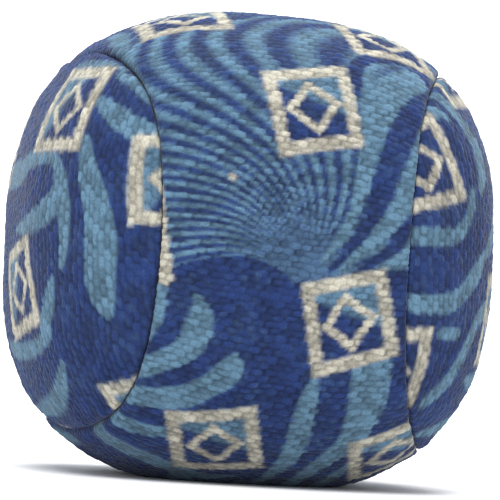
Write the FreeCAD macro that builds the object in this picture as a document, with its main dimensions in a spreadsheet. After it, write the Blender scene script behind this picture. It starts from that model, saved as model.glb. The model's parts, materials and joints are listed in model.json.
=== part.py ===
import FreeCAD, Part
import math
import os

# Two-panel stuffed juggling ball.
#
# Two knitted panels of the same outline are sewn edge to edge along one closed seam, like the two
# halves of a tennis ball.  The front panel has its narrow waist in front (-Y) and a lobe over the
# top and under the bottom; the rear panel has its waist behind (+Y) and a lobe on the left and on
# the right.  Each panel's edge is turned inwards as a seam allowance.  A lockstitch (needle thread
# and bobbin thread) holds the two allowances together, a hand stitch closes the gap through which
# the ball was filled, and seed fills the inside.
#
# Row frame: +Z up, -Y front, origin at the middle of the flattened foot that the ball rests on.

doc = FreeCAD.newDocument("JugglingBall")
Vector = FreeCAD.Vector

# ---------------------------------------------------------------- driving dimensions (mm)

SIZES = [
    ("half_width", 33.0, "half the width, left to right"),
    ("half_depth", 32.5, "half the depth, front to back"),
    ("half_height", 32.6, "half the height before the foot is flattened"),
    ("fullness", 2.62, "superellipsoid exponent: 2 is an ellipsoid, more is squarer"),
    ("foot_depth", 1.1, "how much the weight of the filling flattens the foot"),
    ("cloth", 1.4, "thickness of the knitted cloth"),
    ("allowance", 5.5, "how far the turned-in edges reach below the surface"),
    ("seam_gap", 0.2, "gap between the two cloth edges"),
    ("valley_half_width", 1.7, "half width of the valley that the seam pulls in"),
    ("valley_depth", 1.5, "depth of that valley"),
    ("thread_width", 0.4, "width of the machine threads"),
    ("thread_depth", 2.3, "depth of the machine stitch line below the surface"),
    ("hand_thread", 0.5, "diameter of the hand-sewing thread"),
    ("knot", 1.3, "diameter of its end knots"),
    ("closing_length", 30.0, "length of the hand-closed gap"),
    ("ladder_pitch", 2.5, "distance between two rungs of the hand stitch"),
    ("ladder_half_width", 0.45, "half the length of a rung"),
    ("ladder_depth", 0.6, "depth of the hand stitch below the surface"),
    ("filling_clearance", 0.2, "gap between the cloth and the filling"),
    ("seam_third", 0.359, "seam shape: third harmonic"),
    ("seam_fifth", -0.078, "seam shape: fifth harmonic"),
    ("seam_swing", 1.351, "seam shape: swing from front to back"),
    ("seam_swing_sixth", 0.055, "seam shape: sixth harmonic of the swing"),
]

sheet = doc.addObject("Spreadsheet::Sheet", "Sizes")
for row, (alias, value, note) in enumerate(SIZES, start=1):
    sheet.set("A%d" % row, alias)
    sheet.set("B%d" % row, str(value))
    sheet.set("C%d" % row, note)
    sheet.setAlias("B%d" % row, alias)
doc.recompute()


def size(alias):
    return float(sheet.get(alias))


SEMI_AXES = (size("half_width"), size("half_depth"), size("half_height"))
CENTRE = Vector(0, 0, size("half_height") - size("foot_depth"))
SEAM_POINTS = 64        # points that each closed seam curve is drawn through
PATCH_POINTS = 13       # points along one side of each surface patch
CONE_INNER = 8.0        # the room that a cone cuts in two starts this far from the centre
CONE_OUTER = 46.0       # and ends this far out, outside the ball
CONE_OVERLAP = 1.0      # how far the cone reaches past that room at either end
TINY_TURN = 1e-4        # step along the seam for finding its direction
WALK_STEPS = 40         # steps in which a distance along the seam is walked
TOLERANCE = 1e-3        # for telling which side of a cone a point is on, mm
FOOT_BOX_SPAN = 3       # side of the box that cuts the foot flat, in half widths of the ball
CLOSING_TURN = 0.52     # where round the seam the hand-closed gap is centred
THREAD_CLEARANCE = 0.05     # gap between a machine thread and the cloth that it lies on
BEND_SHARE = 0.8        # bend radius of the hand stitch, as a share of half a rung

# ---------------------------------------------------------------- the ball's surface


def surface_radius(direction, depth=0.0):
    """Distance from the centre to the surface, or to the surface depth mm further in."""
    terms = zip(direction, SEMI_AXES)
    total = sum((abs(part) / (half - depth)) ** size("fullness") for part, half in terms)
    return total ** (-1.0 / size("fullness"))


def unit_patch():
    """One sixth of the surface, around +Z, on semi-axes of 1."""
    grid = []
    for i in range(PATCH_POINTS):
        across = math.tan(math.pi / 4 * (2.0 * i / (PATCH_POINTS - 1) - 1.0))
        line = []
        for j in range(PATCH_POINTS):
            along = math.tan(math.pi / 4 * (2.0 * j / (PATCH_POINTS - 1) - 1.0))
            power = size("fullness")
            reach = (abs(across) ** power + abs(along) ** power + 1.0) ** (-1.0 / power)
            line.append(Vector(across * reach, along * reach, reach))
        grid.append(line)
    patch = Part.BSplineSurface()
    patch.interpolate(grid)
    return patch.toShape()


def rounded_cube(depth=0.0):
    """The ball's outer form as a solid, depth mm inside its surface, centred on CENTRE."""
    patch = unit_patch()
    faces = []
    for axis, angle in ((Vector(1, 0, 0), 0), (Vector(1, 0, 0), 90), (Vector(1, 0, 0), 180),
                        (Vector(1, 0, 0), 270), (Vector(0, 1, 0), 90), (Vector(0, 1, 0), 270)):
        turned = patch.copy()
        turned.rotate(Vector(0, 0, 0), axis, angle)
        faces.append(turned)
    scale = FreeCAD.Matrix()
    scale.scale(*[half - depth for half in SEMI_AXES])
    shell = Part.makeCompound(faces)
    shell.sewShape()
    shell = shell.Shells[0]
    solid = Part.Solid(shell).transformGeometry(scale)
    if solid.Volume < 0:
        solid.reverse()
    solid.translate(CENTRE)
    return solid


# ---------------------------------------------------------------- the seam


def seam_direction(turn):
    """Unit direction from the centre to the seam, for turn from 0 to 1 round the seam."""
    angle = 2 * math.pi * turn
    third = size("seam_third")
    fifth = size("seam_fifth")
    first = math.cos(angle) + third * math.cos(3 * angle) + fifth * math.cos(5 * angle)
    second = math.sin(angle) - third * math.sin(3 * angle) + fifth * math.sin(5 * angle)
    swing = size("seam_swing") * math.sin(2 * angle)
    swing += size("seam_swing_sixth") * math.sin(6 * angle)
    direction = Vector(first - second, swing * math.sqrt(2), first + second)
    return direction.normalize()


def seam_side(turn):
    """Unit vector along the surface, square to the seam, towards the front panel."""
    along = seam_direction(turn + TINY_TURN) - seam_direction(turn - TINY_TURN)
    return seam_direction(turn).cross(along).normalize()


def shifted_direction(turn, side):
    """Direction to a point side mm from the seam, positive on the front panel."""
    direction = seam_direction(turn)
    shift = seam_side(turn) * (side / surface_radius(direction))
    return (direction + shift).normalize()


def seam_point(turn, depth, side):
    """A point depth mm below the surface and side mm from the seam."""
    direction = shifted_direction(turn, side)
    return CENTRE + direction * (surface_radius(direction) - depth)


def closed_curve(point_at):
    points = [point_at(i / SEAM_POINTS) for i in range(SEAM_POINTS)]
    curve = Part.BSplineCurve()
    curve.interpolate(Points=points, PeriodicFlag=True)
    return curve.toShape()


def seam_ring(corners):
    """Closed ring that follows the seam; corners are (depth, side) pairs of its section."""
    curves = [closed_curve(lambda turn, c=corner: seam_point(turn, *c)) for corner in corners]
    faces = []
    for start, end in zip(curves, curves[1:] + curves[:1]):
        faces.append(Part.makeRuledSurface(start, end))
    ring = Part.makeCompound(faces)
    ring.sewShape()
    solid = Part.Solid(ring.Shells[0])
    if solid.Volume < 0:
        solid.reverse()
    return solid


def front_region(side):
    """Everything on the front panel's side of a cone through the seam moved by side mm."""
    def cone_point(reach):
        return closed_curve(lambda turn: CENTRE + shifted_direction(turn, side) * reach)
    inner_edge = cone_point(CONE_INNER - CONE_OVERLAP)
    blade = Part.makeRuledSurface(inner_edge, cone_point(CONE_OUTER + CONE_OVERLAP))
    room = Part.makeSphere(CONE_OUTER, CENTRE).cut(Part.makeSphere(CONE_INNER, CENTRE))
    pieces = room.generalFuse([blade])[0].Solids
    probe = CENTRE + Vector(0, -(CONE_INNER + CONE_OUTER) / 2, 0)
    return [piece for piece in pieces if piece.isInside(probe, TOLERANCE, False)][0]


# ---------------------------------------------------------------- document helpers


def add_form(name, shape):
    """A free form that no primitive gives, worked out from the sheet's sizes."""
    form = doc.addObject("Part::Feature", name)
    form.Shape = shape
    return form


def add_cut(name, base, tool):
    cut = doc.addObject("Part::Cut", name)
    cut.Base = base
    cut.Tool = tool
    return cut


def add_common(name, first, second):
    common = doc.addObject("Part::Common", name)
    common.Base = first
    common.Tool = second
    return common


def flattened(name, depth, floor):
    """The ball's form depth mm inside its surface, cut flat at the height given by floor."""
    form = add_form(name + "Form", rounded_cube(depth))
    below = doc.addObject("Part::Box", name + "Below")
    for side_of_box in ("Length", "Width", "Height"):
        below.setExpression(side_of_box, "Sizes.half_width * %d" % FOOT_BOX_SPAN)
    below.setExpression("Placement.Base.x", "-Length / 2")
    below.setExpression("Placement.Base.y", "-Width / 2")
    below.setExpression("Placement.Base.z", "%s - Height" % floor)
    return add_cut(name, form, below)


# ---------------------------------------------------------------- the two cloth panels


def build_panels():
    """Cloth of even thickness whose edges turn inwards on either side of the seam."""
    half_gap = size("seam_gap") / 2
    cloth = size("cloth")
    valley_half_width = size("valley_half_width")
    above = size("valley_depth") / 2        # the cutting wedge starts above the surface
    flare = valley_half_width * (1 + above / size("valley_depth"))
    wedge = seam_ring([(-above, -flare), (size("valley_depth"), 0.0), (-above, flare)])
    valley = add_form("SeamValley", wedge)
    outer = add_cut("OuterForm", flattened("Outer", 0.0, "0 mm"), valley)
    inner = flattened("Inner", cloth, "Sizes.cloth * 1 mm")
    core = add_form("CoreForm", rounded_cube(size("allowance")))
    wall = add_cut("DeepWall", outer, core)

    front_side = add_form("FrontSide", front_region(half_gap))
    front_space = add_form("FrontSpace", front_region(half_gap + cloth))
    front_wall = add_common("FrontWall", wall, front_side)
    front_hollow = add_common("FrontHollow", inner, front_space)
    front = add_cut("PanelFront", front_wall, front_hollow)
    front.Label = "panel_front"

    rear_limit = add_form("RearLimit", front_region(-half_gap))
    rear_space_limit = add_form("RearSpaceLimit", front_region(-half_gap - cloth))
    rear_wall = add_cut("RearWall", wall, rear_limit)
    rear_hollow = add_cut("RearHollow", inner, rear_space_limit)
    rear = add_cut("PanelRear", rear_wall, rear_hollow)
    rear.Label = "panel_rear"
    return [front, rear]


# ---------------------------------------------------------------- the threads


def build_machine_threads():
    """Needle thread on the front allowance and bobbin thread on the rear one."""
    width = size("thread_width")
    depth = size("thread_depth")
    nearest = size("seam_gap") / 2 + size("cloth") + THREAD_CLEARANCE
    opening = doc.addObject("Part::Sphere", "FillingGap")
    opening.setExpression("Radius", "Sizes.closing_length / 2")
    opening.Placement.Base = seam_point(CLOSING_TURN, depth, 0.0)
    threads = []
    for name, hand in (("needle_thread", 1), ("bobbin_thread", -1)):
        corners = [(depth, hand * nearest), (depth, hand * (nearest + width)),
                   (depth + width, hand * (nearest + width)), (depth + width, hand * nearest)]
        line = add_form(name.title().replace("_", "") + "Line", seam_ring(corners))
        thread = add_cut(name.title().replace("_", ""), line, opening)
        thread.Label = name
        threads.append(thread)
    return threads


def turn_after(turn, distance):
    """The place on the seam that lies distance mm further along the surface than turn."""
    for _ in range(WALK_STEPS):
        travelled = (seam_point(turn + TINY_TURN, 0, 0) - seam_point(turn, 0, 0)).Length
        turn += distance / WALK_STEPS * TINY_TURN / travelled
    return turn


def rounded_path(points, radius):
    """Straight runs through points, joined by arcs of radius."""
    edges = []
    start = points[0]
    for before, corner, after in zip(points, points[1:], points[2:]):
        back = (before - corner).normalize()
        ahead = (after - corner).normalize()
        half_angle = back.getAngle(ahead) / 2
        reach = radius / math.tan(half_angle)
        middle = corner + (back + ahead).normalize() * (radius / math.sin(half_angle) - radius)
        edges.append(Part.LineSegment(start, corner + back * reach).toShape())
        edges.append(Part.Arc(corner + back * reach, middle, corner + ahead * reach).toShape())
        start = corner + ahead * reach
    edges.append(Part.LineSegment(start, points[-1]).toShape())
    return Part.Wire(edges)


def build_closing_thread():
    """Ladder stitch: rails along each folded edge and rungs across the valley, knotted at both ends."""
    rungs = int(size("closing_length") / size("ladder_pitch")) + 1
    start = turn_after(CLOSING_TURN, -size("closing_length") / 2)
    half_rung = size("ladder_half_width")
    depth = size("ladder_depth")
    points = []
    for rung in range(rungs):
        turn = turn_after(start, rung * size("ladder_pitch"))
        side = half_rung if rung % 2 == 0 else -half_rung
        points.append(seam_point(turn, depth, side))
        points.append(seam_point(turn, depth, -side))
    path = rounded_path(points, BEND_SHARE * half_rung)
    section = Part.Circle(points[0], points[1] - points[0], size("hand_thread") / 2)
    profile = Part.Wire(section.toShape())
    shape = path.makePipeShell([profile], True, False)
    for end in (points[0], points[-1]):
        shape = shape.fuse(Part.makeSphere(size("knot") / 2, end))
    thread = add_form("ClosingThread", shape)
    thread.Label = "closing_thread"
    return thread


# ---------------------------------------------------------------- the filling


def build_filling():
    """The seed as one solid: the space inside the cloth, less a channel for the allowances."""
    gap = size("filling_clearance")
    depth = size("cloth") + gap
    form = flattened("Packed", depth, "(Sizes.cloth + Sizes.filling_clearance) * 1 mm")
    half_width = size("seam_gap") / 2 + size("cloth") + THREAD_CLEARANCE + size("thread_width") + gap
    bottom = size("allowance") + gap
    corners = [(0.0, -half_width), (bottom, -half_width), (bottom, half_width), (0.0, half_width)]
    channel = add_form("SeamChannel", seam_ring(corners))
    filling = add_cut("SeedFilling", form, channel)
    filling.Label = "seed_filling"
    return filling


# ---------------------------------------------------------------- build, check and write


def main():
    pieces = build_panels() + build_machine_threads() + [build_closing_thread(), build_filling()]
    doc.recompute()
    for thing in doc.Objects:
        if "Invalid" in thing.State or "Error" in thing.State:
            raise RuntimeError("%s failed: %s" % (thing.Name, thing.State))
    os.makedirs("parts", exist_ok=True)
    for piece in pieces:
        shape = piece.Shape
        if shape.isNull() or not shape.isValid() or len(shape.Solids) != 1:
            raise RuntimeError("%s is not one valid solid" % piece.Label)
    for piece in pieces:
        shape = piece.Shape
        shape.exportStep("parts/%s.step" % piece.Label)
        print("%-16s %10.1f mm3  %s" % (piece.Label, shape.Volume, shape.BoundBox))


main()
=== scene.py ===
import json
import math

import bpy
import numpy as np
from mathutils import Matrix, Vector
from mathutils.kdtree import KDTree

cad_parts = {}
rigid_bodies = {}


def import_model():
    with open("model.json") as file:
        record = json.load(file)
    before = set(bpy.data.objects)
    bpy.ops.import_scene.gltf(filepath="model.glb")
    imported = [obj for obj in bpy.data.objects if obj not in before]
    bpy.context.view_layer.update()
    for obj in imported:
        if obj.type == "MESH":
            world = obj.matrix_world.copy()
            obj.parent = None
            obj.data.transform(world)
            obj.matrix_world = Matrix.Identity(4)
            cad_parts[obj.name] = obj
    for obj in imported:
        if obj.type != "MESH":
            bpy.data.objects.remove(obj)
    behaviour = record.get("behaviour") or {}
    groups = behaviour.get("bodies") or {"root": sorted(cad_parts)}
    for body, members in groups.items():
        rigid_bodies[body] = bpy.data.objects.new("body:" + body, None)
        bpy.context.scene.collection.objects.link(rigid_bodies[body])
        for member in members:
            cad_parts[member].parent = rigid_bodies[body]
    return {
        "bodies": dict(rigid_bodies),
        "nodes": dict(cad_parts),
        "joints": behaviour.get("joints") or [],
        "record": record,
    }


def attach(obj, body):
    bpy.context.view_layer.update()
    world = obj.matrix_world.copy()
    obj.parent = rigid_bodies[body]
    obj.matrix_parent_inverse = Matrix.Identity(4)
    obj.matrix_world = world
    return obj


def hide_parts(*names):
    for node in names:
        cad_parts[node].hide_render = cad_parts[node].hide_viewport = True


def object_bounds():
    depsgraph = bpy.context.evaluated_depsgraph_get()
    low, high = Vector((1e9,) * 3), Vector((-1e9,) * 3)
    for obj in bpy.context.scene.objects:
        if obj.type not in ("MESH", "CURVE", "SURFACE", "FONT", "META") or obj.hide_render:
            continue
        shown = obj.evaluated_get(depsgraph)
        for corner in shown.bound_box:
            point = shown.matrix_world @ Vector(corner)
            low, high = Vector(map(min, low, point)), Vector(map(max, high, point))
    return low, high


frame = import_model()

CAD_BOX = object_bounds()
MM = 0.001

# A stuffed juggling ball of two knitted panels.  Each panel is laid out flat as the cloth it is cut
# from, in millimetres: p runs across the panel's waist and q along the panel, from lobe to lobe.
# The flat cloth is then wrapped over the ball, and its edge is rolled down into the seam.

# ---------------------------------------------------------------- sizes, in millimetres

FULLNESS = 2.62             # superellipsoid exponent of the stuffed ball
FOOT_DEPTH = 1.1            # how far the foot is flattened
SEAM_THIRD = 0.359          # shape of the closed seam, as in the CAD model
SEAM_FIFTH = -0.078
SEAM_SWING = 1.351
SEAM_SWING_SIXTH = 0.055
SEAM_SAMPLES = 3000

WALE = 1.76                 # from one bump of the knit to the next, along the row
COURSE = 0.88               # from one row of bumps to the next; every other row is half a wale on
STEPS_PER_WALE, STEPS_PER_COURSE = 4, 4     # mesh steps
BUMP_REACH = np.array([0.60, 0.60])         # half size of a bump, in wales and courses
BUMP_SIZES = (0.88, 0.24)   # least share of that size, and how much more a bump may have
BUMP_HEIGHTS = (0.70, 0.45)     # the same for its height
BUMP_ROUNDNESS = 0.6        # below 1 the top is flat, above 1 it is peaked
BUMP_RELIEF = 0.33          # how far a bump stands proud of the gaps round it
BUMP_ARCH = 0.10            # how far it bends up or down
ARCH_LEVEL = 0.4            # share of that bend by which its middle goes the other way
BUMP_PULL = 0.20            # how far one bump takes one colour of the print
FUZZ_HEIGHT, FUZZ_LENGTH = 0.02, 0.9        # unevenness of the yarn itself
RELIEF_FADE = 1.5           # the bumps die out this far down the turned-in edge
RELIEF_AT_SEAM = 0.35       # share of their height that they have at the seam
RELIEF_RISE = 2.0           # it grows by 1 over this distance, until it is whole
KNIT_TABLE = 512            # random numbers per side before the knit's irregularity repeats
ROW_WANDER, ROW_LENGTHS = 0.16, (11.0, 9.0)     # slow drift of the rows and bumps
ROW_JITTER, JITTER_LENGTHS = 0.075, (2.6, 2.2)  # and their quick unevenness
SHEET_HALF = (42.0, 94.0)   # half the size of the cloth that a panel is cut from
NOISE_WAVES = 24            # sine waves summed for smooth noise
NOISE_SPREAD = (0.6, 1.4)   # how much shorter or longer than asked for they may be

EDGE_ROLL = 0.60            # radius of the rolled edge beside the seam
ROLL_UNEVEN, ROLL_SPREAD, ROLL_SEED = 0.08, 0.5, 77     # how that radius varies along the seam
DEEP_SPOTS = [              # direction from the centre, and extra radius where the cloth bunches
    ((-0.58, -0.50, 0.64), 0.75),
    ((-0.61, -0.42, -0.68), 0.75),
    ((0.5, -0.6, 0.62), 0.25),
]
DEEP_SPREAD = 0.30          # radians over which the roll swells round each of those directions
CLOSING_TURN = 0.52         # the hand-closed gap is centred here, in turns round the seam
CLOSING_SPREAD = 0.42       # and reaches this many radians to either side
CLOSING_GAP = 0.22          # each of its edges is set back this much, so that the ladder stitch shows
OPENING_DEPTH = 0.7         # and meet again over this depth under the stitch
CLOSING_ROLL = 0.55         # they also roll in more softly there
GAP_FADE = 2.0              # the cloth beside the seam is pushed aside over this distance
EDGE_GAP = 0.045            # half the gap between the two rolled edges
EDGE_PULL = 0.5             # how much cloth the roll takes up
EDGE_FADE = 8.0             # over this distance from the seam
ALLOWANCE = 2.6             # how much of the turned-in edge is modelled
LUMP_HEIGHT, LUMP_LENGTH, LUMP_FADE = 0.12, 16.0, 6.0       # the filling's lumps
PUCKER_HEIGHT, PUCKER_LENGTH, PUCKER_REACH = 0.22, 7.0, 4.0     # puckers beside the seam
PUCKER_START = 1.5          # they rise over this distance from the seam
FOOT_SOFTNESS = 0.25        # how softly the edge of the flattened foot is rounded
FOOT_HEIGHT = 20.0          # cloth below this sits half of that lower, so that it reaches the floor

LOW, HIGH = (np.array(corner) / MM for corner in CAD_BOX)
SEMI_AXES = (HIGH - LOW) / 2 + np.array([0.0, 0.0, FOOT_DEPTH / 2])
CENTRE = np.array([0.0, 0.0, HIGH[2] - SEMI_AXES[2]])

# ---------------------------------------------------------------- the ball and its seam


def unit(vectors):
    return vectors / np.linalg.norm(vectors, axis=-1, keepdims=True)


def surface_radius(directions, semi_axes=SEMI_AXES):
    """Distance from the ball's centre to its surface, in each direction."""
    total = (np.abs(directions / semi_axes) ** FULLNESS).sum(-1)
    return total ** (-1.0 / FULLNESS)


def seam_directions(turns):
    """Unit directions to the seam; it is the same curve in either panel's own axes."""
    angle = 2 * np.pi * turns
    first = np.cos(angle) + SEAM_THIRD * np.cos(3 * angle) + SEAM_FIFTH * np.cos(5 * angle)
    second = np.sin(angle) - SEAM_THIRD * np.sin(3 * angle) + SEAM_FIFTH * np.sin(5 * angle)
    swing = SEAM_SWING * np.sin(2 * angle) + SEAM_SWING_SIXTH * np.sin(6 * angle)
    return unit(np.stack([first - second, swing * math.sqrt(2), first + second], -1))


def chart_to_direction(across, along):
    """Panel axes: waist towards -Y, lobes towards +Z and -Z.  The angles are in radians."""
    return np.stack([np.sin(across), -np.cos(across) * np.cos(along),
                     np.cos(across) * np.sin(along)], -1)


def direction_to_chart(directions):
    across = np.arcsin(np.clip(directions[..., 0], -1, 1))
    along = np.arctan2(directions[..., 2], -directions[..., 1])
    return across, along


# ---------------------------------------------------------------- laying a panel out flat


def relax_flat(flat, solid, sweeps=1500, hold=1.2):
    """Moves the flat grid until its edges and diagonals are as long as on the ball."""
    rows, columns = flat.shape[:2]
    index = np.arange(rows * columns).reshape(rows, columns)
    pairs = [(index[:, :-1], index[:, 1:]), (index[:-1], index[1:]),
             (index[:-1, :-1], index[1:, 1:]), (index[:-1, 1:], index[1:, :-1])]
    start = np.concatenate([pair[0].ravel() for pair in pairs])
    end = np.concatenate([pair[1].ravel() for pair in pairs])
    place = flat.reshape(-1, 2).copy()
    solid = solid.reshape(-1, 3)
    length = np.linalg.norm(solid[end] - solid[start], axis=1)
    count = np.bincount(np.concatenate([start, end]), minlength=len(place))[:, None]
    for _ in range(sweeps):
        gap = place[end] - place[start]
        reach = np.linalg.norm(gap, axis=1) + 1e-9
        push = gap * ((reach - length) / reach * 0.5)[:, None]
        move = np.zeros_like(place)
        for axis in range(2):
            move[:, axis] = (np.bincount(start, push[:, axis], len(place))
                             - np.bincount(end, push[:, axis], len(place)))
        place += hold * move / count
    return place.reshape(rows, columns, 2)


def even_odd_terms(x, y, x_powers, y_powers):
    return np.stack([x ** i * y ** j for i in x_powers for j in y_powers], -1)


class Wrap:
    """The map between a flat panel and the ball, fitted to the relaxed grid."""

    ROWS, COLUMNS = 81, 25
    ODD, EVEN = (1, 3, 5, 7, 9), (0, 2, 4, 6, 8, 10, 12)
    SCALE = np.array([30.0, 90.0])      # keeps the polynomial's terms near 1
    TIP_SHARE = 0.9995                  # the grid stops just short of the lobes' tips

    def __init__(self):
        seam = seam_directions(np.arange(SEAM_SAMPLES) / SEAM_SAMPLES)
        across, along = direction_to_chart(seam)
        side = across > 0
        order = np.argsort(along[side])
        tip = np.abs(along).max()
        spread = np.sin(np.linspace(-1, 1, self.ROWS) * math.pi / 2) * tip * self.TIP_SHARE
        width = np.interp(spread, along[side][order], across[side][order])
        share = np.linspace(-1, 1, self.COLUMNS)
        chart_along = np.repeat(spread[:, None], self.COLUMNS, 1)
        chart_across = width[:, None] * share
        direction = chart_to_direction(chart_across, chart_along)
        mean_axes = np.full(3, SEMI_AXES.mean())
        solid = direction * surface_radius(direction, mean_axes)[..., None]
        first = np.stack([chart_across, chart_along], -1) * SEMI_AXES.mean()
        flat = relax_flat(first, solid)
        x, y = np.moveaxis(flat / self.SCALE, -1, 0)
        self.to_across = self.fit(x, y, chart_across, self.ODD, self.EVEN)
        self.to_along = self.fit(y, x, chart_along, self.ODD, self.EVEN)
        self.to_p = self.fit(chart_across, chart_along / 2, flat[..., 0], self.ODD, self.EVEN)
        self.to_q = self.fit(chart_along / 2, chart_across, flat[..., 1], self.ODD, self.EVEN)
        self.seam = seam
        self.seam_flat = self.lay_flat(seam)

    def fit(self, x, y, values, x_powers, y_powers):
        terms = even_odd_terms(x.ravel(), y.ravel(), x_powers, y_powers)
        return np.linalg.lstsq(terms, values.ravel(), rcond=None)[0]

    def direction(self, flat):
        """Direction on the ball of each flat point."""
        x, y = np.moveaxis(flat / self.SCALE, -1, 0)
        across = even_odd_terms(x, y, self.ODD, self.EVEN) @ self.to_across
        along = even_odd_terms(y, x, self.ODD, self.EVEN) @ self.to_along
        return chart_to_direction(across, along)

    def lay_flat(self, directions):
        across, along = direction_to_chart(directions)
        p = even_odd_terms(across, along / 2, self.ODD, self.EVEN) @ self.to_p
        q = even_odd_terms(along / 2, across, self.ODD, self.EVEN) @ self.to_q
        return np.stack([p, q], -1)


# ---------------------------------------------------------------- the knit


def smooth_noise(points, wavelength, seed):
    """Smooth random field, mostly from -1 to 1, over flat or solid points; the same on every run."""
    random = np.random.RandomState(seed)
    heading = unit(random.normal(size=(NOISE_WAVES, points.shape[-1])))
    pace = heading * (2 * math.pi / wavelength) * random.uniform(*NOISE_SPREAD, (NOISE_WAVES, 1))
    phase = random.uniform(0, 2 * math.pi, NOISE_WAVES)
    field = np.zeros(points.shape[:-1])
    for wave in range(NOISE_WAVES):
        field += np.sin(points @ pace[wave] + phase[wave])
    return field / math.sqrt(NOISE_WAVES)


def knit_cells(lattice, row_shift=0):
    """Row and bump nearest to each point, and the offset from that bump in wales and courses."""
    row = np.floor(lattice[..., 1] / COURSE + 0.5) + row_shift
    along = lattice[..., 0] / WALE + 0.5 * (row % 2)
    bump = np.floor(along + 0.5)
    offset = np.stack([along - bump, lattice[..., 1] / COURSE - row], -1)
    return row.astype(int), bump.astype(int), offset


def knit_relief(lattice, seed):
    """Height of the purl side's bumps, from 0 in the gaps to about 1, and each bump's random number."""
    table = np.random.RandomState(seed).uniform(0, 1, (KNIT_TABLE, KNIT_TABLE))
    best = np.zeros(lattice.shape[:-1])
    pick = np.zeros(lattice.shape[:-1])
    for row_shift in (-1, 0, 1):
        row, bump, offset = knit_cells(lattice, row_shift)
        own = table[row % KNIT_TABLE, bump % KNIT_TABLE]
        other = table[bump % KNIT_TABLE, row % KNIT_TABLE]
        reach = BUMP_REACH * (BUMP_SIZES[0] + BUMP_SIZES[1] * other)[..., None]
        shape = np.clip(1 - (offset / reach) ** 2, 0, 1).prod(-1) ** BUMP_ROUNDNESS
        height = shape * (BUMP_HEIGHTS[0] + BUMP_HEIGHTS[1] * own)
        higher = height > best
        best = np.where(higher, height, best)
        pick = np.where(higher, own, pick)
    return best, pick


def knit_bend(lattice):
    """Shift of each point that arches the bumps, up in one row and down in the next."""
    row, _, offset = knit_cells(lattice)
    arch = np.where(row % 2 == 0, 1.0, -1.0) * (4 * offset[..., 0] ** 2 - ARCH_LEVEL)
    shift = np.zeros_like(lattice)
    shift[..., 1] = BUMP_ARCH * arch * (1 - np.abs(2 * offset[..., 1]))
    return shift


# ---------------------------------------------------------------- the printed design


# Every place below is in flat millimetres.  A brush stroke is a row of (p, q, half width) points;
# a frame is (p, q, turn in degrees).  The unseen back, top and underside carry on in the same manner.

FAN_PIVOT = np.array([1.0, -4.0])       # where the fan of stripes starts
FAN_REACH = 20.0                        # distances from there are counted in this length
FAN_TWIST = 0.85                        # how much the stripes lean left as they run outwards
FAN_UNTWIST = 0.10                      # and how much they come upright again further out
FAN_STRAIGHT = 0.95                     # how much less the stripes on the right lean
FAN_RIGHT = (0.9, 3.3)                  # angles over which the right side takes over
FAN_MIDDLE = 1.6                        # angle of the middle stripes, from the left
FAN_DENSITY = 12.5                      # stripes per radian there
FAN_THINNING = 1.2                      # and how much wider they get to either side
FAN_MIDDLE_STRIPE = 7.9                 # its number, counted from the left
FAN_FIRST, FAN_LAST = -2.5, 22.0        # the fan runs from and to these numbers
FAN_CEILING = 50.0                      # the stripes end about here
FAN_TIP = 13.0                          # and narrow to a point over this length
FAN_UNEVEN = (4.0, 1.7)                 # by how much and how fast their length varies
FAN_BLUR = 9.0                          # their contrast grows from none to full over this length
FAN_HEART = (0.5, 0.08)                 # from this share of it off the pivot, and is never less
FAN_TONE = 0.43                         # 0 is the dark blue, 1 the light blue
FAN_CONTRAST = 0.62                     # how far the stripes stray from that
FAN_TIP_FADE = 1.15                     # how strongly a stripe's end goes dark
FAN_LIMITS = (0.04, 0.92)               # darkest and lightest tone
FAN_SPAN = 1.5                          # angle from the middle beyond which no stripes are counted
FAN_SIDE = 4.0                          # how sharply the fan's two sides end

FRAME_HALF, FRAME_LINE = 6.1, 1.75      # half the side of a frame, and the width of its border
DIAMOND_HALF, DIAMOND_LINE = 3.3, 1.5   # half the width of the diamond in it, and of its line
FRAME_SOFTNESS = 0.5                    # width over which the frames' edges blur
FRAME_TONE = 0.85                       # the lighter half of a frame's inside
FRAME_SPLIT = (0.6, 1.0, 0.8)           # slope, place and softness of the line between the halves
STROKE_SOFTNESS = 0.35                  # width over which the strokes' edges blur
STROKE_STEPS = 9                        # points along a stroke from one listed point to the next

LIGHT, DARK, WHITE = 1.0, 0.0, 2.0
DYE_PATCHES, PATCH_LENGTH = 0.10, 9.0   # how unevenly the cloth took the dye, and over what length
DYE_FLECKS, FLECK_LENGTH = 0.16, 1.5
DYE_LOSS, DYE_BLEED = 0.25, 0.5         # how much that dims the print, and lightens the dark field

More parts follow.
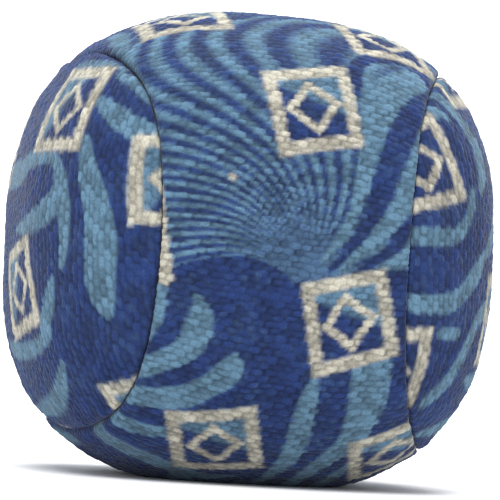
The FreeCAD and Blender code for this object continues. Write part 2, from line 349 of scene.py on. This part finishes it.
FRONT_STROKES = [
    (LIGHT, [(17.5, 27, 2.4), (14.5, 23.5, 2.7), (11.8, 18.5, 1.9), (10.6, 13, 1.3), (10, 9, 1.1),
             (8.9, 5, 0.8), (7.3, 2, 0.6), (5.2, -1, 0.4)]),
    (DARK, [(8.9, 22, 0.8), (9.2, 26, 1.1), (11, 28.8, 1.0), (14.5, 30.2, 0.9), (18.3, 31.2, 0.9),
            (20, 29, 0.8), (20.4, 26, 0.8)]),
    (DARK, [(19.6, 25.5, 0.8), (17.3, 21.5, 1.7), (15.2, 16.5, 1.8), (13.9, 12, 1.6), (12.6, 8, 1.5),
            (11.3, 5, 1.2), (9.9, 2.2, 0.9), (8.3, 0, 0.7), (6, -2.3, 0.4)]),
    (LIGHT, [(18, 14, 1.5), (16.9, 10, 1.7), (15.2, 6.5, 1.4), (13.2, 3.5, 1.1), (11, 1, 0.8),
             (8, -2, 0.5)]),
    (DARK, [(18.6, 7, 0.8), (16.7, 4, 1.1), (14.2, 0.8, 0.9), (11.5, -1.5, 0.7), (9, -3.2, 0.4)]),
    (LIGHT, [(18.5, 2.5, 0.9), (16, 0.3, 0.7), (13, -1.7, 0.6)]),
    (DARK, [(18.5, -1.2, 0.9), (17.3, -5, 0.8), (17.5, -12, 0.8)]),
    (WHITE, [(-17.9, 8, 0.4), (-17.6, 4, 0.7), (-17.2, 0, 0.9), (-16.8, -3, 1.1), (-16.7, -4.7, 1.2)]),
    (LIGHT, [(-17.1, -6.6, 1.1), (-17, -9, 1.1), (-17.5, -11.5, 0.9), (-18.2, -13.5, 0.4)]),
    (LIGHT, [(-12.3, -6.8, 0.4), (-11.7, -8.6, 1.2), (-11.7, -11, 1.9), (-12.9, -13.8, 1.6),
             (-15.6, -16, 1.4), (-19.5, -18.8, 1.3)]),
    (LIGHT, [(-6.4, -14, 0.6), (-7, -16, 1.8), (-9.5, -18.3, 1.6), (-13, -20.8, 1.7),
             (-19.5, -22.8, 1.6)]),
    (LIGHT, [(-13.8, -27, 0.9), (-17, -27.9, 1.2), (-22, -28.3, 1.3)]),
    (LIGHT, [(-3, -35.4, 0.5), (-7, -36.6, 1.1), (-11, -35.8, 1.6), (-16, -34.3, 1.8),
             (-23, -33.8, 1.9)]),
    (LIGHT, [(5, -16.5, 0.4), (4.6, -19, 1.3), (4.2, -23, 1.6), (3.9, -27, 1.6), (3.2, -30, 1.3),
             (2.2, -33, 1.0), (1.2, -36, 0.8), (-1, -42, 0.9)]),
    (LIGHT, [(13, -14.5, 2.7), (12.9, -18, 2.7), (12.6, -22, 2.5), (11.8, -25.5, 1.9),
             (10, -28.5, 1.6), (8, -31.5, 1.5), (6.5, -34.5, 1.2), (4.5, -41, 1.2)]),
    (DARK, [(14.9, -15, 0.15), (14.9, -22, 0.2)]),
    (LIGHT, [(12.4, -32, 0.5), (11, -35.5, 1.0), (9, -41, 1.2)]),
    (WHITE, [(-8.6, 9.3, 0.45), (-8.3, 9.1, 0.45)]),
    (DARK, [(-24.6, 46, 0.8), (-23.8, 39, 0.9), (-22.9, 35.5, 0.4)]),
    (LIGHT, [(-21.6, 46, 0.9), (-21.4, 38, 1.2), (-21.4, 31, 0.9)]),
]

FRONT_FRAMES = [(2.9, 19.2, 11), (9.3, -8.8, 12.5), (-6.9, -27.7, 15), (-12.9, 40.3, 1),
                (14.7, 36.7, 9), (18.6, -31.6, 11)]

LEFT_LOBE_STROKES = [
    (LIGHT, [(-9.5, -80, 0.9), (-6, -79.2, 2.1), (0, -79, 2.3), (5, -77.8, 2.0), (9, -75.8, 1.7),
             (13, -74.2, 0.8)]),
    (LIGHT, [(-11.8, -68, 1.0), (-9, -69.6, 1.3), (-5.5, -70.6, 0.5)]),
    (LIGHT, [(1, -58, 0.5), (1.8, -64, 1.4), (3.8, -69, 1.8), (7, -70.8, 1.3), (10.4, -68.5, 0.9),
             (10.6, -62, 1.3), (9, -57, 1.9), (8.5, -48, 2.0)]),
    (LIGHT, [(-3.5, -72.6, 0.5), (0, -72.8, 1.0), (4, -72.2, 1.3), (8, -71.2, 0.9)]),
    (LIGHT, [(-24.6, -48, 0.9), (-23.6, -58, 1.2), (-22.5, -64, 1.5), (-20, -68.5, 1.3),
             (-16.5, -71, 0.6)]),
    (LIGHT, [(-15.5, -48, 1.2), (-15.5, -57, 1.3), (-15, -63, 1.1), (-13.2, -68, 1.0),
             (-12, -69.5, 0.6)]),
    (LIGHT, [(18.5, -74.3, 0.8), (17.2, -77, 1.3), (15.5, -80.5, 1.5), (14.6, -84, 1.4),
             (14.3, -88, 1.1)]),
    (LIGHT, [(23, -74.5, 0.6), (21.5, -78.5, 0.9), (19.5, -81.5, 0.5)]),
    (LIGHT, [(24.2, -62, 0.5), (24.4, -69, 0.7), (24, -74.5, 0.4)]),
]

LEFT_LOBE_FRAMES = [(17.7, -67.2, 1), (-6.9, -59.8, 15), (9.1, -87.9, 7), (-24.2, -83.2, 9),
                    (-32.8, -56.5, 4)]

RIGHT_LOBE_STROKES = [
    (LIGHT, [(-6.2, 87, 1.3), (-5.7, 81, 1.4), (-4, 77.5, 1.2), (-1.5, 74.5, 1.4), (1, 72, 0.8)]),
    (LIGHT, [(3.4, 87, 1.3), (3.3, 82, 1.3), (4, 79, 1.0), (6.5, 76.5, 0.9), (9.5, 75.5, 0.8)]),
    (LIGHT, [(-19, 78.5, 1.0), (-16, 76, 1.2), (-11, 74, 1.2), (-7, 71.5, 1.2), (-5, 66, 1.2)]),
    (LIGHT, [(-9.8, 80.5, 0.8), (-9.6, 77.5, 0.8)]),
    (LIGHT, [(10, 73, 0.8), (13, 71.5, 1.7), (17, 72, 1.6), (21, 74.5, 1.3), (23.5, 77, 0.8)]),
    (LIGHT, [(19.5, 82, 1.2), (20.5, 79, 1.0), (19.5, 77, 0.5)]),
    (LIGHT, [(-24, 74, 0.7), (-22.5, 68, 1.3), (-21, 60, 1.7), (-19, 52, 1.8), (-15, 45, 1.4)]),
    (LIGHT, [(-15.5, 70, 0.6), (-15.8, 64, 1.5), (-14, 56, 1.9), (-10.5, 50, 1.7), (-8, 43, 1.2)]),
    (LIGHT, [(22, 62.5, 0.6), (16, 61.5, 1.6), (9, 63.5, 1.9), (3.5, 68, 1.4), (1, 71.5, 0.6)]),
    (LIGHT, [(8, 57.5, 0.6), (6.5, 52, 1.7), (8, 45, 2.0), (10, 38, 1.5)]),
    (LIGHT, [(-2, 54, 0.5), (-2.5, 49, 1.5), (-1, 44, 1.6), (1.5, 38, 1.0)]),
    (LIGHT, [(25, 60, 0.6), (24.8, 54, 1.1), (24, 47, 1.2)]),
]

RIGHT_LOBE_FRAMES = [(-15.9, 87.3, 8), (13.1, 84.6, 13), (27.7, 67.5, 3), (-7.2, 62.5, 2),
                     (16, 50.5, 10)]


def stroke_cover(flat, points):
    """1 inside a brush stroke, 0 outside, soft over a short edge."""
    points = np.array(points, float)
    knots = np.concatenate([[2 * points[0] - points[1]], points, [2 * points[-1] - points[-2]]])
    steps = np.linspace(0, 1, STROKE_STEPS)[:, None]
    line = []
    for before, start, end, after in zip(knots, knots[1:], knots[2:], knots[3:]):
        line.append(0.5 * (2 * start + (end - before) * steps
                           + (2 * before - 5 * start + 4 * end - after) * steps ** 2
                           + (3 * start - before - 3 * end + after) * steps ** 3))
    line = np.concatenate(line)
    margin = 4.0        # more than any stroke's half width
    low, high = line[:, :2].min(0) - margin, line[:, :2].max(0) + margin
    close = ((flat > low) & (flat < high)).all(-1)
    near = flat[close]
    inside = np.full(len(near), -2 * margin)
    for p, q, width in line:
        inside = np.maximum(inside, width - np.hypot(near[:, 0] - p, near[:, 1] - q))
    cover = np.zeros(flat.shape[:-1])
    cover[close] = np.clip(0.5 + inside / STROKE_SOFTNESS, 0, 1)
    return cover


def fan_stripes(flat):
    """Stripes that leave one point, bend as they run outwards, and widen to the right."""
    offset = flat - FAN_PIVOT
    radius = np.hypot(offset[..., 0], offset[..., 1]) / FAN_REACH
    angle = math.pi - np.arctan2(offset[..., 1], offset[..., 0])
    right = np.clip((angle - FAN_RIGHT[0]) / (FAN_RIGHT[1] - FAN_RIGHT[0]), 0, 1)
    right = right * right * (3 - 2 * right)
    lean = (FAN_TWIST - FAN_STRAIGHT * right) * radius
    lean = lean - FAN_UNTWIST * (1 - right) * radius ** 3
    place = np.clip(angle + lean - FAN_MIDDLE, -FAN_SPAN, FAN_SPAN)
    number = FAN_DENSITY * place - FAN_THINNING * place ** 3 + FAN_MIDDLE_STRIPE
    contrast = FAN_CONTRAST * np.clip(radius * FAN_REACH / FAN_BLUR - FAN_HEART[0], FAN_HEART[1], 1)
    ceiling = FAN_CEILING + FAN_UNEVEN[0] * np.sin(FAN_UNEVEN[1] * number)
    tip = 1 - np.clip((ceiling - flat[..., 1]) / FAN_TIP, 0, 1)
    tone = FAN_TONE - contrast * np.cos(2 * math.pi * number) - FAN_TIP_FADE * tip
    tone = np.clip(tone, *FAN_LIMITS)
    after_first = np.clip((number - FAN_FIRST) * FAN_SIDE, 0, 1)
    before_last = np.clip((FAN_LAST - number) * FAN_SIDE, 0, 1)
    return tone * after_first * before_last


def paint_frame(flat, frame, tone, white):
    """A square cream frame, blue inside, with a plain cream diamond drawn in it."""
    p, q, turn = frame
    cos, sin = math.cos(math.radians(turn)), math.sin(math.radians(turn))
    offset = flat - np.array([p, q])
    across = offset[..., 0] * cos + offset[..., 1] * sin
    up = offset[..., 1] * cos - offset[..., 0] * sin
    square = np.maximum(np.abs(across), np.abs(up))
    diamond = np.abs(np.abs(across) + np.abs(up) - DIAMOND_HALF)
    inside = np.clip(0.5 + (FRAME_HALF - square) / FRAME_SOFTNESS, 0, 1)
    border = np.clip(0.5 + (square - FRAME_HALF + FRAME_LINE) / FRAME_SOFTNESS, 0, 1)
    drawn = np.clip(0.5 + (DIAMOND_LINE / 2 - diamond) / FRAME_SOFTNESS, 0, 1)
    lines = np.maximum(border, drawn)
    slope, place, blur = FRAME_SPLIT
    lighter = np.clip(0.5 + (across * slope + up - place) / blur, 0, 1)
    white = white * (1 - inside) + lines * inside
    tone = tone * (1 - inside) + FRAME_TONE * lighter * inside
    return tone, white


def paint_print(flat, panel):
    """Tone (0 dark blue, 1 light blue) and share of cream of the print at each flat point."""
    tone = fan_stripes(flat * panel.fan_side)
    white = np.zeros_like(tone)
    for colour, points in panel.strokes:
        cover = stroke_cover(flat, points)
        if colour == WHITE:
            white = np.maximum(white, cover)
        else:
            tone = tone * (1 - cover) + colour * cover
            white = white * (1 - cover)
    for frame in panel.frames:
        tone, white = paint_frame(flat, frame, tone, white)
    uneven = (DYE_PATCHES * smooth_noise(flat, PATCH_LENGTH, panel.seed + 7)
              + DYE_FLECKS * smooth_noise(flat, FLECK_LENGTH, panel.seed + 8))
    tone = tone * (1 - DYE_LOSS * uneven) + DYE_BLEED * np.clip(uneven, 0, 1)
    white = white * (1 - DYE_LOSS * np.abs(uneven))
    return np.clip(tone, 0, 1), np.clip(white, 0, 1)


def turned(strokes):
    """The same strokes turned half a turn about the panel's centre."""
    return [(colour, [(-p, -q, width) for p, q, width in points]) for colour, points in strokes]


def turned_frames(frames):
    return [(-p, -q, turn) for p, q, turn in frames]


# ---------------------------------------------------------------- wrapping the cloth


class Panel:
    """One panel's place on the ball, the turn of its knit, and its print."""

    def __init__(self, name, slot, axes, grain, seed, fan_side, strokes, frames):
        self.name = name
        self.slot = slot
        self.axes = np.array(axes, float)      # rows are the panel's own axes in the world
        self.grain = math.radians(grain)
        self.seed = seed                       # each kind of noise adds its own number to it
        self.fan_side = fan_side               # 1, or -1 to turn the fan half a turn
        self.strokes = strokes
        self.frames = frames


def lattice_points(panel):
    """A grid of flat points in step with the knit, big enough for the whole panel."""
    step_u, step_v = WALE / STEPS_PER_WALE, COURSE / STEPS_PER_COURSE
    columns = np.arange(-round(SHEET_HALF[0] / step_u), round(SHEET_HALF[0] / step_u) + 1)
    rows = np.arange(-round(SHEET_HALF[1] / step_v), round(SHEET_HALF[1] / step_v) + 1)
    lattice = np.stack(np.meshgrid(columns * step_u, rows * step_v), -1)
    cos, sin = math.cos(panel.grain), math.sin(panel.grain)
    wander = np.stack([smooth_noise(lattice, ROW_LENGTHS[0], panel.seed + 1),
                       smooth_noise(lattice, ROW_LENGTHS[1], panel.seed + 2)], -1) * ROW_WANDER
    jitter = np.stack([smooth_noise(lattice, JITTER_LENGTHS[0], panel.seed + 5),
                       smooth_noise(lattice, JITTER_LENGTHS[1], panel.seed + 6)], -1) * ROW_JITTER
    placed = lattice + wander + jitter + knit_bend(lattice)
    flat = placed @ np.array([[cos, sin], [-sin, cos]])
    return lattice, flat


def nearest_on_seam(flat, wrap):
    """Index of the nearest seam sample and signed distance to it, positive inside the panel."""
    tree = KDTree(len(wrap.seam_flat))
    for index, (p, q) in enumerate(wrap.seam_flat):
        tree.insert((p, q, 0.0), index)
    tree.balance()
    flat_list = flat.reshape(-1, 2)
    nearest = np.array([tree.find((p, q, 0.0))[1] for p, q in flat_list.tolist()])
    tangent = np.roll(wrap.seam_flat, -1, 0) - np.roll(wrap.seam_flat, 1, 0)
    inward = unit(np.stack([-tangent[:, 1], tangent[:, 0]], -1))
    if (inward[0] * wrap.seam_flat[0]).sum() > 0:
        inward = -inward
    offset = flat_list - wrap.seam_flat[nearest]
    side = np.sign((offset * inward[nearest]).sum(1))
    distance = np.linalg.norm(offset, axis=1) * side
    return nearest.reshape(flat.shape[:2]), distance.reshape(flat.shape[:2]), inward


def angle_between(directions, place):
    return np.arccos(np.clip(directions @ unit(np.array(place)), -1, 1))


def closing_share(seam_world):
    """1 along the hand-closed gap, 0 elsewhere on the seam."""
    away = angle_between(seam_world, seam_directions(np.array([CLOSING_TURN]))[0])
    return np.exp(-(away / CLOSING_SPREAD) ** 4)


def edge_roll(seam_world):
    """Radius of the rolled edge at each seam direction: fuller where the cloth is bunched."""
    roll = EDGE_ROLL + CLOSING_ROLL * closing_share(seam_world)
    for place, extra in DEEP_SPOTS:
        roll += extra * np.exp(-(angle_between(seam_world, place) / DEEP_SPREAD) ** 2)
    return roll + ROLL_UNEVEN * smooth_noise(seam_world, ROLL_SPREAD, ROLL_SEED)


def edge_profile(distance, roll, opening):
    """How far beside the seam, and how deep below the surface, a point of the cloth ends up."""
    inside = np.clip(distance, 0, None)
    below = np.clip(-distance, 0, None)
    taken = EDGE_PULL * (1 - np.exp(-inside / EDGE_PULL)) * np.clip(1 - inside / EDGE_FADE, 0, 1)
    beside = np.clip(inside - taken, 0, None)
    over = np.clip(roll - beside, 0, roll)
    depth = roll - np.sqrt(roll ** 2 - over ** 2) + below
    gap = EDGE_GAP + opening * np.exp(-below / OPENING_DEPTH)
    return beside + gap * np.exp(-inside / GAP_FADE), depth


def wrap_panel(panel, wrap):
    """Positions in millimetres of every lattice point, before the knit's relief."""
    lattice, flat = lattice_points(panel)
    nearest, distance, inward = nearest_on_seam(flat, wrap)
    seam_world = wrap.seam @ panel.axes
    roll = edge_roll(seam_world)[nearest]
    opening = CLOSING_GAP * closing_share(seam_world)[nearest]
    beside, depth = edge_profile(distance, roll, opening)
    from_seam = flat - wrap.seam_flat[nearest]
    outside = (distance <= 0)[..., None]
    heading = np.where(outside, inward[nearest], from_seam / np.abs(distance)[..., None])
    placed = wrap.seam_flat[nearest] + heading * beside[..., None]
    direction = wrap.direction(placed) @ panel.axes
    radius = surface_radius(direction)
    position = CENTRE + direction * (radius - depth)[..., None]
    return lattice, flat, distance, position


def lattice_normals(position):
    along_u = np.gradient(position, axis=1)
    along_v = np.gradient(position, axis=0)
    return unit(np.cross(along_u, along_v))


def lumps(flat, distance, seed):
    """The filling's soft lumps all over, and short puckers that run in from the seam."""
    soft = LUMP_HEIGHT * smooth_noise(flat, LUMP_LENGTH, seed + 3)
    pucker = smooth_noise(flat, PUCKER_LENGTH, seed + 4)
    fade = np.exp(-np.clip(distance, 0, None) / PUCKER_REACH)
    fade = fade * np.clip(distance / PUCKER_START, 0, 1)
    return soft * np.clip(distance / LUMP_FADE, 0, 1) + PUCKER_HEIGHT * pucker * fade


def settle_on_foot(position):
    """Presses what would lie under the foot up to the floor, with a soft edge."""
    z = position[..., 2]
    lifted = 0.5 * (z + np.sqrt(z ** 2 + FOOT_SOFTNESS ** 2))
    lifted = lifted - 0.5 * FOOT_SOFTNESS * (z < FOOT_HEIGHT)
    position[..., 2] = np.clip(lifted, 0, None)
    return position


def printed_place(lattice, flat, panel):
    """Where the print is read for each point: pulled towards the middle of its own bump."""
    offset = knit_cells(lattice)[2]
    pull = -offset * np.array([WALE, COURSE]) * BUMP_PULL
    cos, sin = math.cos(panel.grain), math.sin(panel.grain)
    return flat + pull @ np.array([[cos, sin], [-sin, cos]])


def make_mesh(name, position, keep, attributes):
    """A mesh object from a grid of points, with quads where all four corners are kept."""
    number = np.full(keep.shape, -1)
    used = np.zeros(keep.shape, bool)
    whole = keep[:-1, :-1] & keep[1:, :-1] & keep[:-1, 1:] & keep[1:, 1:]
    for rows in (slice(0, -1), slice(1, None)):
        for columns in (slice(0, -1), slice(1, None)):
            used[rows, columns] |= whole
    number[used] = np.arange(used.sum())
    quads = np.stack([number[:-1, :-1], number[:-1, 1:], number[1:, 1:], number[1:, :-1]], -1)[whole]
    mesh = bpy.data.meshes.new(name)
    mesh.vertices.add(int(used.sum()))
    mesh.vertices.foreach_set("co", (position[used] * MM).astype(np.float32).ravel())
    mesh.loops.add(quads.size)
    mesh.loops.foreach_set("vertex_index", quads.astype(np.int32).ravel())
    mesh.polygons.add(len(quads))
    mesh.polygons.foreach_set("loop_start", np.arange(0, quads.size, 4, dtype=np.int32))
    mesh.polygons.foreach_set("use_smooth", np.ones(len(quads), bool))
    mesh.update(calc_edges=True)
    for label, values in attributes.items():
        layer = mesh.attributes.new(label, "FLOAT_VECTOR", "POINT")
        layer.data.foreach_set("vector", values[used].astype(np.float32).ravel())
    piece = bpy.data.objects.new(name, mesh)
    bpy.context.scene.collection.objects.link(piece)
    return piece


def build_panel(panel, wrap, material):
    """One panel's cloth, with its knit and its print, in its place in the part."""
    lattice, flat, distance, position = wrap_panel(panel, wrap)
    height, pick = knit_relief(lattice, panel.seed)
    normal = lattice_normals(position)
    relief = BUMP_RELIEF * (height - 0.5) * np.clip(1 + distance / RELIEF_FADE, 0, 1)
    relief = relief * np.clip(RELIEF_AT_SEAM + distance / RELIEF_RISE, RELIEF_AT_SEAM, 1)
    relief = relief + FUZZ_HEIGHT * smooth_noise(lattice, FUZZ_LENGTH, panel.seed + 9)
    relief = relief + lumps(flat, distance, panel.seed)
    position = settle_on_foot(position + normal * relief[..., None])
    tone, cream = paint_print(printed_place(lattice, flat, panel), panel)
    attributes = {
        "print": np.stack([tone, cream, pick], -1),
        "knit": np.stack([height, pick, distance], -1),
    }
    piece = make_mesh(panel.name + "_cloth", position, distance > -ALLOWANCE, attributes)
    piece.data.materials.append(material)
    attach(piece, "root")
    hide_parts(panel.name)
    return piece


# ---------------------------------------------------------------- materials


def new_material(name):
    material = bpy.data.materials.new(name)
    material.use_nodes = True
    nodes = material.node_tree.nodes
    return material, nodes, material.node_tree.links, nodes["Principled BSDF"]


def colour_mix(nodes, links, factor, first, second, blend="MIX"):
    """A colour mix; each of factor, first and second is a socket or a value."""
    mix = nodes.new("ShaderNodeMix")
    mix.data_type = "RGBA"
    mix.blend_type = blend
    for socket, value in ((mix.inputs[0], factor), (mix.inputs[6], first), (mix.inputs[7], second)):
        if isinstance(value, bpy.types.NodeSocket):
            links.new(value, socket)
        else:
            socket.default_value = value
    return mix.outputs[2]


def maths(nodes, links, operation, *values):
    """A maths node; each of values is a socket or a number."""
    node = nodes.new("ShaderNodeMath")
    node.operation = operation
    for socket, value in zip(node.inputs, values):
        if isinstance(value, bpy.types.NodeSocket):
            links.new(value, socket)
        else:
            socket.default_value = value
    return node.outputs[0]


def set_inputs(node, values):
    for label, value in values.items():
        node.inputs[label].default_value = value


def srgb(red, green, blue):
    """A colour given as 0 to 255 display values."""
    return [(value / 255 / 12.92 if value < 11 else ((value / 255 + 0.055) / 1.055) ** 2.4)
            for value in (red, green, blue)] + [1.0]


DARK_BLUE = srgb(25, 44, 89)
LIGHT_BLUE = srgb(79, 109, 130)
CREAM = srgb(165, 161, 147)
CLOTH_FINISH = {"Roughness": 0.92, "Specular IOR Level": 0.25,
                "Sheen Weight": 0.15, "Sheen Roughness": 0.35}
FIBRES_PER_METRE = 3500
FIBRE_DETAIL = 3
FIBRE_STRENGTH, FIBRE_HEIGHT = 0.8, 0.2 * MM
FIBRE_SPECKLE = (0.9, 0.55)     # how strongly the fibres vary the colour, and the least brightness
BUMP_SHADES = (0.40, 0.80)      # the same for one bump of the knit against the next
# Painted shade: the knit's colour is darkened in the gaps between its bumps, where the bumps shade each
# other.
GAP_SHADE_HEIGHTS = (0.25, 0.8)    # heights of the knit between which it turns from dark to light
GAP_PAINTED_SHADE = 0.50             # brightness in the gaps
SPECKLE_SHADE = 0.6             # brightness of the darker specks of threads and seed
NAVY_COTTON, COTTON_ROUGHNESS, COTTON_SPECK = srgb(40, 54, 90), 0.8, 0.3 * MM
MILLET_SEED, SEED_ROUGHNESS, SEED_SPECK = srgb(196, 160, 96), 0.6, 2.0 * MM


def cloth_material(name):
    """Reads the print and the knit off the mesh, paints shade into the gaps between the knit's bumps,
    and adds fine fibres.
    """
    material, nodes, links, shader = new_material(name)
    layers = {}
    for label in ("print", "knit"):
        attribute = nodes.new("ShaderNodeAttribute")
        attribute.attribute_name = label
        split = nodes.new("ShaderNodeSeparateXYZ")
        links.new(attribute.outputs["Vector"], split.inputs[0])
        layers[label] = split.outputs
    place = nodes.new("ShaderNodeTexCoord").outputs["Object"]
    fibre = nodes.new("ShaderNodeTexNoise")
    set_inputs(fibre, {"Scale": FIBRES_PER_METRE, "Detail": FIBRE_DETAIL})
    links.new(place, fibre.inputs["Vector"])
    blues = colour_mix(nodes, links, layers["print"][0], DARK_BLUE, LIGHT_BLUE)
    dyed = colour_mix(nodes, links, layers["print"][1], blues, CREAM)
    # Painted shade: the colour goes darker towards the gaps between the bumps, by the knit's height.
    painted_gap_shade = nodes.new("ShaderNodeMapRange")
    set_inputs(painted_gap_shade, {"From Min": GAP_SHADE_HEIGHTS[0], "From Max": GAP_SHADE_HEIGHTS[1],
                        "To Min": GAP_PAINTED_SHADE, "To Max": 1.0})
    links.new(layers["knit"][0], painted_gap_shade.inputs["Value"])
    uneven = maths(nodes, links, "MULTIPLY_ADD", layers["print"][2], *BUMP_SHADES)
    speckle = maths(nodes, links, "MULTIPLY_ADD", fibre.outputs["Fac"], *FIBRE_SPECKLE)
    level = maths(nodes, links, "MULTIPLY", painted_gap_shade.outputs[0], uneven)
    level = maths(nodes, links, "MULTIPLY", level, speckle)
    shade = nodes.new("ShaderNodeCombineColor")
    for channel in range(3):
        links.new(level, shade.inputs[channel])
    shaded = colour_mix(nodes, links, 1.0, dyed, shade.outputs[0], "MULTIPLY")
    links.new(shaded, shader.inputs["Base Color"])
    bump = nodes.new("ShaderNodeBump")
    set_inputs(bump, {"Strength": FIBRE_STRENGTH, "Distance": FIBRE_HEIGHT})
    links.new(fibre.outputs["Fac"], bump.inputs["Height"])
    links.new(bump.outputs[0], shader.inputs["Normal"])
    set_inputs(shader, CLOTH_FINISH)
    return material


def plain_material(name, colour, roughness, speckle_size):
    """A matt material with a fine two-tone speckle."""
    material, nodes, links, shader = new_material(name)
    place = nodes.new("ShaderNodeTexCoord").outputs["Object"]
    noise = nodes.new("ShaderNodeTexNoise")
    noise.inputs["Scale"].default_value = 1 / speckle_size
    links.new(place, noise.inputs["Vector"])
    darker = [channel * SPECKLE_SHADE for channel in colour[:3]] + [1.0]
    speckled = colour_mix(nodes, links, noise.outputs["Fac"], darker, colour)
    links.new(speckled, shader.inputs["Base Color"])
    shader.inputs["Roughness"].default_value = roughness
    return material


def dress_inner_nodes():
    """Materials for the CAD pieces that show as they are: the three threads and the filling."""
    cotton = plain_material("navy_cotton", NAVY_COTTON, COTTON_ROUGHNESS, COTTON_SPECK)
    seed = plain_material("millet_seed", MILLET_SEED, SEED_ROUGHNESS, SEED_SPECK)
    dress = {"needle_thread": cotton, "bobbin_thread": cotton, "closing_thread": cotton,
             "seed_filling": seed}
    for name, material in dress.items():
        data = frame["nodes"][name].data
        data.materials.clear()
        data.materials.append(material)


# ---------------------------------------------------------------- stage, light and camera

BALL_CENTRE = Vector(CENTRE * MM)
CAMERA_YAW = math.radians(10.0)         # the camera stands this far round to the left
CAMERA_RISE = math.radians(-0.8)        # and this far above the ball's centre
CAMERA_ROLL = math.radians(3.4)         # the camera leans, so that the ball looks turned clockwise
CAMERA_DISTANCE = 0.587
CAMERA_LENS, CAMERA_SENSOR = 305.6, 36  # in millimetres, as cameras are
CAMERA_NEAR, CAMERA_FAR = 0.05, 20      # nothing nearer or further off is drawn
AIM_RIGHT, AIM_UP = 0.50 * MM, 0.26 * MM    # it aims this far beside the ball's centre
KEY_LIGHT = ((-0.20, -0.50, 0.85), 0.6, 9.5)    # place and diameter in metres, and power in watts
TOP_LIGHT = ((0.1, 0.20, 0.9), 0.7, 9.0)
WALL_LIGHT = ((0, 0.6, 1.4), 1.6, 60.0)
WALL_LIGHT_TILT = math.radians(75)      # from straight down, towards the wall
SKY_COLOUR, SKY_STRENGTH = (0.95, 0.97, 1.0, 1), 0.68
STAGE_FRONT, STAGE_BEND, STAGE_WALL = -3.0, 1.6, 2.6    # where the floor starts, bends and ends, in Y
STAGE_HALF_WIDTH, STAGE_TOP, STAGE_STEPS = 3.0, 4.0, 12
STAGE_FINISH = {"Base Color": (0.92, 0.92, 0.92, 1), "Roughness": 0.9}


def make_camera():
    data = bpy.data.cameras.new("camera")
    data.lens = CAMERA_LENS
    data.sensor_width = CAMERA_SENSOR
    data.clip_start, data.clip_end = CAMERA_NEAR, CAMERA_FAR
    camera = bpy.data.objects.new("camera", data)
    bpy.context.scene.collection.objects.link(camera)
    back = Vector((-math.sin(CAMERA_YAW) * math.cos(CAMERA_RISE),
                   -math.cos(CAMERA_YAW) * math.cos(CAMERA_RISE), math.sin(CAMERA_RISE)))
    turn = (-back).to_track_quat("-Z", "Y").to_matrix() @ Matrix.Rotation(CAMERA_ROLL, 3, "Z")
    aim = BALL_CENTRE + turn @ Vector((AIM_RIGHT, AIM_UP, 0))
    camera.matrix_world = Matrix.Translation(aim + back * CAMERA_DISTANCE) @ turn.to_4x4()
    bpy.context.scene.camera = camera


def make_stage():
    """A pale sweep: flat floor that curves up into a wall well behind the ball."""
    radius = STAGE_WALL - STAGE_BEND
    profile = [(STAGE_FRONT, 0.0), (STAGE_BEND, 0.0)]
    for step in range(1, STAGE_STEPS + 1):
        angle = math.pi / 2 * step / STAGE_STEPS
        profile.append((STAGE_BEND + radius * math.sin(angle), radius * (1 - math.cos(angle))))
    profile.append((STAGE_WALL, STAGE_TOP))
    mesh = bpy.data.meshes.new("stage")
    points = [(side * STAGE_HALF_WIDTH, y, z) for y, z in profile for side in (-1, 1)]
    faces = [(2 * i, 2 * i + 1, 2 * i + 3, 2 * i + 2) for i in range(len(profile) - 1)]
    mesh.from_pydata(points, [], faces)
    mesh.polygons.foreach_set("use_smooth", [True] * len(faces))
    stage = bpy.data.objects.new("stage", mesh)
    bpy.context.scene.collection.objects.link(stage)
    material, _, _, shader = new_material("stage_paper")
    set_inputs(shader, STAGE_FINISH)
    stage.data.materials.append(material)


def area_light(name, place, size, power):
    """A round lamp that faces the ball."""
    data = bpy.data.lights.new(name, "AREA")
    data.shape = "DISK"
    data.size = size
    data.energy = power
    light = bpy.data.objects.new(name, data)
    bpy.context.scene.collection.objects.link(light)
    light.location = place
    light.rotation_euler = (BALL_CENTRE - Vector(place)).to_track_quat("-Z", "Y").to_euler()
    return light


def make_light():
    world = bpy.data.worlds.new("studio")
    bpy.context.scene.world = world
    world.use_nodes = True
    background = world.node_tree.nodes["Background"]
    background.inputs["Color"].default_value = SKY_COLOUR
    background.inputs["Strength"].default_value = SKY_STRENGTH
    area_light("key", *KEY_LIGHT)
    area_light("top", *TOP_LIGHT)
    wall = area_light("wall", *WALL_LIGHT)
    wall.rotation_euler = (WALL_LIGHT_TILT, 0, 0)


# ---------------------------------------------------------------- build

PANELS = [
    Panel("panel_front", "front_cloth", np.eye(3), -5.6, 10, 1,
          FRONT_STROKES + turned(LEFT_LOBE_STROKES) + turned(RIGHT_LOBE_STROKES),
          FRONT_FRAMES + turned_frames(LEFT_LOBE_FRAMES[:2] + RIGHT_LOBE_FRAMES[:2])),
    Panel("panel_rear", "rear_cloth", [[0, 0, 1], [0, -1, 0], [1, 0, 0]], 3.0, 40, -1,
          turned(FRONT_STROKES) + LEFT_LOBE_STROKES + RIGHT_LOBE_STROKES,
          turned_frames(FRONT_FRAMES[:4]) + LEFT_LOBE_FRAMES + RIGHT_LOBE_FRAMES),
]


def main():
    bpy.context.scene.view_settings.view_transform = "Standard"
    dress_inner_nodes()
    make_stage()
    make_light()
    make_camera()
    wrap = Wrap()
    cloth = cloth_material("printed_knit")
    for panel in PANELS:
        build_panel(panel, wrap, cloth)


main()
